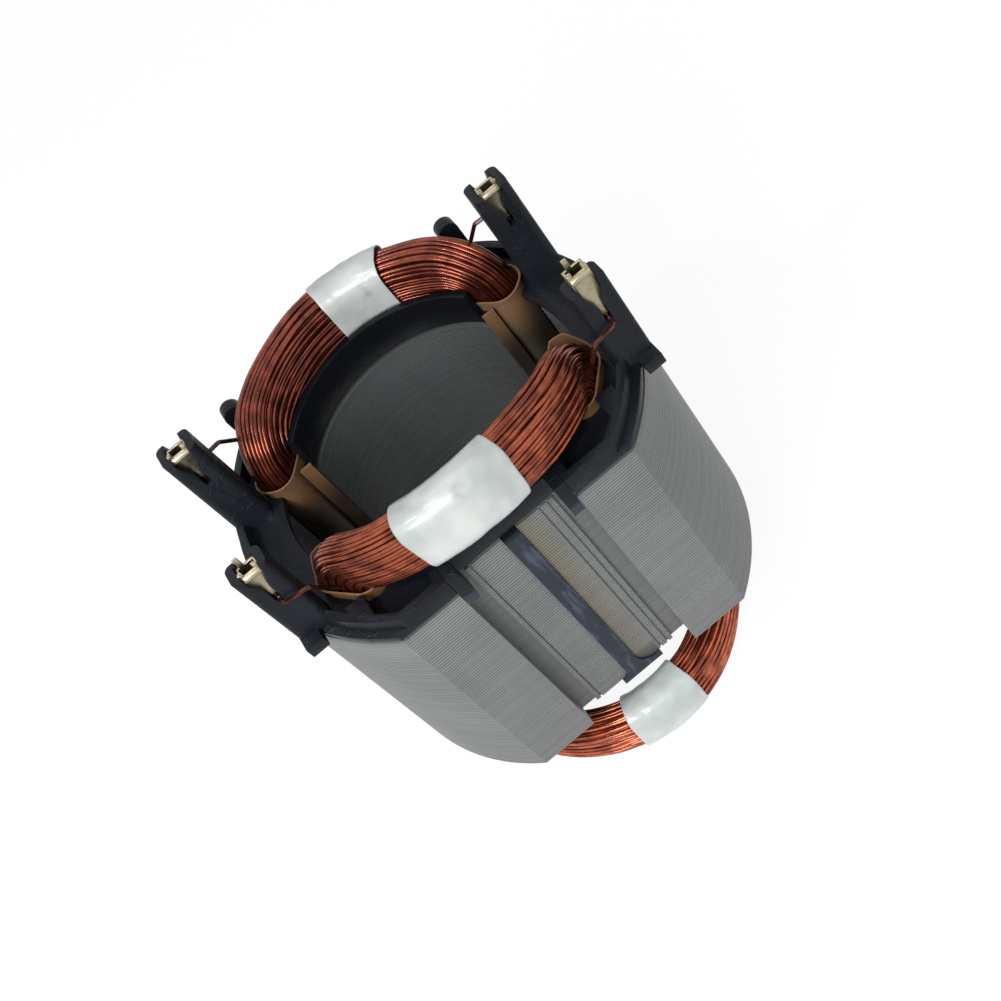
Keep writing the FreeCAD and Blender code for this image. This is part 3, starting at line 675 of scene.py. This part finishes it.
make_tape("tape_rear_top", REAR, 77.0, 30.0)
make_tape("tape_front_top", FRONT, 85.5, 39.0)
make_tape("tape_rear_bottom", LOW, 89.0, 29.0)
make_tape("tape_front_bottom", LOW, 89.0, 29.0)


# Slot papers
def finish_paper(sheet, node, side, front, doubled=False):
    """Gives a paper piece its thickness, its side and its place."""
    wall = sheet.modifiers.new("wall", "SOLIDIFY")
    wall.thickness = 2 * SHEET_WALL if doubled else SHEET_WALL
    wall.offset = 0 if doubled else 1
    apply_modifiers(sheet)
    if side == -1:
        sheet.scale = (-1, 1, 1)
        settle(sheet)
        enter_edit()
        face_out()
    if front:
        face_front(sheet)
    shade(sheet, PAPER, "insulating_paper", 40)
    belong(sheet, node)


def make_sleeve(node, side, front):
    """A paper sleeve in its slot that opens out a little above the end frame."""
    sleeve = section_loop(node + "_sleeve", PAPER_LIFT, leg_place(-SLEEVE_FOOT))
    enter_edit()
    for rise in (STACK + SLEEVE_FOOT, FLANGE, SLEEVE_NECK, SLEEVE_MOUTH):
        run(UP * rise)
    bpy.ops.transform.resize(value=(MOUTH_SPREAD, MOUTH_SPREAD, 1))
    face_out()
    finish_paper(sleeve, node, side, front)


def make_wing(node, side, front):
    """The sleeve's doubled edge, folded out of the slot over the side of the pole tip."""
    inner = math.sqrt(BORE ** 2 - POLE_TIP ** 2) + 0.2 * MM
    outer = LEG.x - COIL_HALF[0] * OUT.x + 0.6 * MM
    bpy.ops.object.select_all(action="DESELECT")
    bpy.ops.mesh.primitive_plane_add(size=1)
    wing = bpy.context.object
    wing.name = node + "_wing"
    wing.location = ((inner + outer) / 2, POLE_TIP - WING_LAP, 0)
    wing.rotation_euler = (math.radians(90), 0, 0)
    wing.scale = (outer - inner, WING_START, 1)
    settle(wing)
    enter_edit()
    select_top(wing)
    for _ in range(WING_STEPS):
        run(UP * ((STACK + WING_RISE) / WING_STEPS))
    face_out()
    finish_paper(wing, node, side, front, doubled=True)


def make_flap(node, side, height):
    """The front sleeves' paper stands on behind the bend, where the wires turn away from it."""
    foot = STACK + 1 * MM
    flap = section_loop(node + "_flap", FLAP_LIFT, leg_place(foot))
    enter_edit()
    # Only the corner away from the pole and towards the bore stays.
    away = (-OUT * 0.35 - ALONG * 0.94).normalized()
    across = (OUT * 0.94 - ALONG * 0.35).normalized()
    bpy.ops.mesh.bisect(plane_co=LEG + away * (3.4 * MM), plane_no=-away, clear_outer=True)
    steps = 4
    for _ in range(steps):
        select_top(flap)
        run(UP * (height / steps) + away * (0.12 * MM))
        bpy.ops.transform.resize(value=(1.04, 1.04, 1))
    # Two slanted cuts leave a blunt point.
    crest = LEG + away * (5.6 * MM) + UP * (foot + height)
    for way in (1, -1):
        slant = (UP + across * way * 1.1).normalized()
        bpy.ops.mesh.select_all(action="SELECT")
        bpy.ops.mesh.bisect(plane_co=crest + across * way * (1.3 * MM), plane_no=slant, clear_outer=True)
    face_out()
    finish_paper(flap, node, side, True)


make_flap("liner_front_left", 1, 5.6 * MM)
make_flap("liner_front_right", -1, 7.0 * MM)
for liner, side, front in (("liner_rear_right", 1, False), ("liner_rear_left", -1, False),
                           ("liner_front_left", 1, True), ("liner_front_right", -1, True)):
    make_sleeve(liner, side, front)
    make_wing(liner, side, front)


# Terminals
def add_folds(node, with_tongue):
    """The rolled collar and folded ends on a terminal, and the tongue that stands behind it."""
    corners = [nodes[node].matrix_world @ Vector(corner) for corner in nodes[node].bound_box]
    low = Vector(min(corner[axis] for corner in corners) for axis in range(3))
    high = Vector(max(corner[axis] for corner in corners) for axis in range(3))
    middle = (low + high) / 2
    collar_radius = 0.62 * MM
    collar_length = 3.3 * MM
    fold_size = (0.65 * MM, 0.35 * MM, 1.7 * MM)
    tongue_size = (0.9 * MM, 0.35 * MM, 2.6 * MM)
    blocks = [(Vector((middle.x + end * 1.25 * MM, low.y + 0.75 * MM, high.z - 0.6 * MM)), fold_size)
              for end in (-1, 1)]
    if with_tongue:
        blocks.append((Vector((middle.x - 0.5 * MM, high.y - 0.5 * MM, high.z + 0.2 * MM)), tongue_size))

    bpy.ops.object.select_all(action="DESELECT")
    bpy.ops.mesh.primitive_cylinder_add(vertices=20, radius=collar_radius, depth=collar_length,
                                        location=(middle.x, low.y + 0.55 * MM, high.z - 1.5 * MM),
                                        rotation=(0, math.radians(90), 0))
    folds = [bpy.context.object]
    for place, extent in blocks:
        bpy.ops.mesh.primitive_cube_add(size=1, location=place, scale=extent)
        folds.append(bpy.context.object)
    for number, fold in enumerate(folds):
        settle(fold)
        fold.name = f"{node}_fold_{number}"
        enter_edit()
        bpy.ops.mesh.bevel(offset=0.12 * MM, segments=2, affect="EDGES")
        leave_edit()
        shade(fold, BRASS, "plated_brass", 35)
        belong(fold, node)


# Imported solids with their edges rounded
def soften(node, width, material, slot, raised=0.0):
    """A copy of a solid with its sharp edges rounded, and its pole walls raised."""
    piece = nodes[node].copy()
    piece.data = nodes[node].data.copy()
    piece.name = node + "_body"
    piece.parent = None
    bpy.context.scene.collection.objects.link(piece)
    alone(piece)
    enter_edit()
    bpy.ops.mesh.remove_doubles(threshold=0.005 * MM)
    bpy.ops.mesh.dissolve_limited(angle_limit=math.radians(1))
    leave_edit()
    if raised:
        # The pole walls reach up to the coils' undersides.
        for corner in piece.data.vertices:
            from_axis = math.hypot(corner.co.x, corner.co.y)
            corner.select = from_axis < WALL_OUTSIDE and corner.co.z > STACK + 3 * MM
        bpy.ops.object.mode_set(mode="EDIT")
        bpy.ops.transform.translate(value=UP * raised)
        leave_edit()
    rounding = piece.modifiers.new("round", "BEVEL")
    rounding.width = width
    rounding.segments = 2
    rounding.limit_method = "ANGLE"
    rounding.angle_limit = math.radians(35)
    apply_modifiers(piece)
    shade(piece, material, slot, 35)
    belong(piece, node)


def repaint(node, material):
    """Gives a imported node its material."""
    nodes[node].data.materials.clear()
    nodes[node].data.materials.append(material)


soften("top_end_frame", 0.22 * MM, PLASTIC, "black_plastic", WALL_RISE)
soften("bottom_end_frame", 0.35 * MM, PLASTIC, "black_plastic")
for row_name, lead_material in (("rear", DARK_LEAD), ("front", LEAD)):
    for side_name in ("left", "right"):
        terminal = f"terminal_{row_name}_{side_name}"
        soften(terminal, 0.08 * MM, BRASS, "plated_brass")
        add_folds(terminal, row_name == "front")
        repaint(f"lead_{row_name}_{side_name}", lead_material)
repaint("lamination_stack", STEEL)


# Floor, light, camera
WHITE = (1, 1, 1)
DAYLIGHT = 0.29
FLOOR_SHOW = 0.88
FLOOR_GAP = 0.1 * MM


def white_stage(name, shadow):
    """White to the camera and to reflections, with the object's soft shadow kept."""
    finish = Finish(name, roughness=0.9)
    finish.shader.inputs["Base Color"].default_value = (0.86, 0.86, 0.86, 1)
    glow = finish.node("ShaderNodeEmission", None, WHITE, 1.04)
    plain = Tone(finish, finish.shader.outputs[0])
    blend = finish.node("ShaderNodeMixShader", None, finish.seen() * shadow, plain, glow)
    output = finish.tree.nodes["Material Output"]
    finish.tree.links.new(blend.socket, output.inputs["Surface"])
    return finish.material


bpy.ops.object.select_all(action="DESELECT")
bpy.ops.mesh.primitive_plane_add(size=4.0, location=(0, 0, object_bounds()[0].z - FLOOR_GAP))
floor = bpy.context.object
floor.name = "floor"
floor.data.materials.append(white_stage("floor_white", FLOOR_SHOW))

world = bpy.data.worlds.new("studio")
bpy.context.scene.world = world
world.use_nodes = True
sky = Nodes(world.node_tree)
daylight = sky.node("ShaderNodeBackground", None, WHITE, DAYLIGHT)
white = sky.node("ShaderNodeBackground", None, WHITE, 1.0)
choice = sky.node("ShaderNodeMixShader", None, sky.seen(), daylight, white)
sky.tree.links.new(choice.socket, sky.tree.nodes["World Output"].inputs["Surface"])


def lamp(name, place, target, size, power):
    """A square lamp that faces a target."""
    light = bpy.data.lights.new(name, "AREA")
    light.size = size
    light.energy = power
    holder = bpy.data.objects.new(name, light)
    bpy.context.scene.collection.objects.link(holder)
    holder.location = place
    holder.rotation_euler = (Vector(target) - Vector(place)).to_track_quat("-Z", "Y").to_euler()


STATOR_MIDDLE = (0, 0, 0.03)
REAR_ARCH = (0, 0, 0.05)
lamp("key", (-0.26, -0.42, 0.42), STATOR_MIDDLE, 0.30, 3.6)
lamp("fill", (0.45, -0.35, 0.30), STATOR_MIDDLE, 0.40, 0.4)
lamp("top", (-0.05, 0.30, 0.60), STATOR_MIDDLE, 0.35, 0.35)
lamp("glint", (-0.22, -0.10, 0.42), REAR_ARCH, 0.04, 0.7)

# The view that was fitted to the photograph.
view = bpy.data.cameras.new("photo_view")
view.sensor_width = 36.0
view.lens = 55.818
view.clip_start = 0.01
camera = bpy.data.objects.new("photo_view", view)
bpy.context.scene.collection.objects.link(camera)
camera.location = (0.010854, -0.174359, 0.228010)
camera.rotation_mode = "QUATERNION"
camera.rotation_quaternion = (0.881998, 0.322949, 0.136291, -0.314975)
bpy.context.scene.camera = camera
bpy.context.scene.view_settings.view_transform = "Standard"
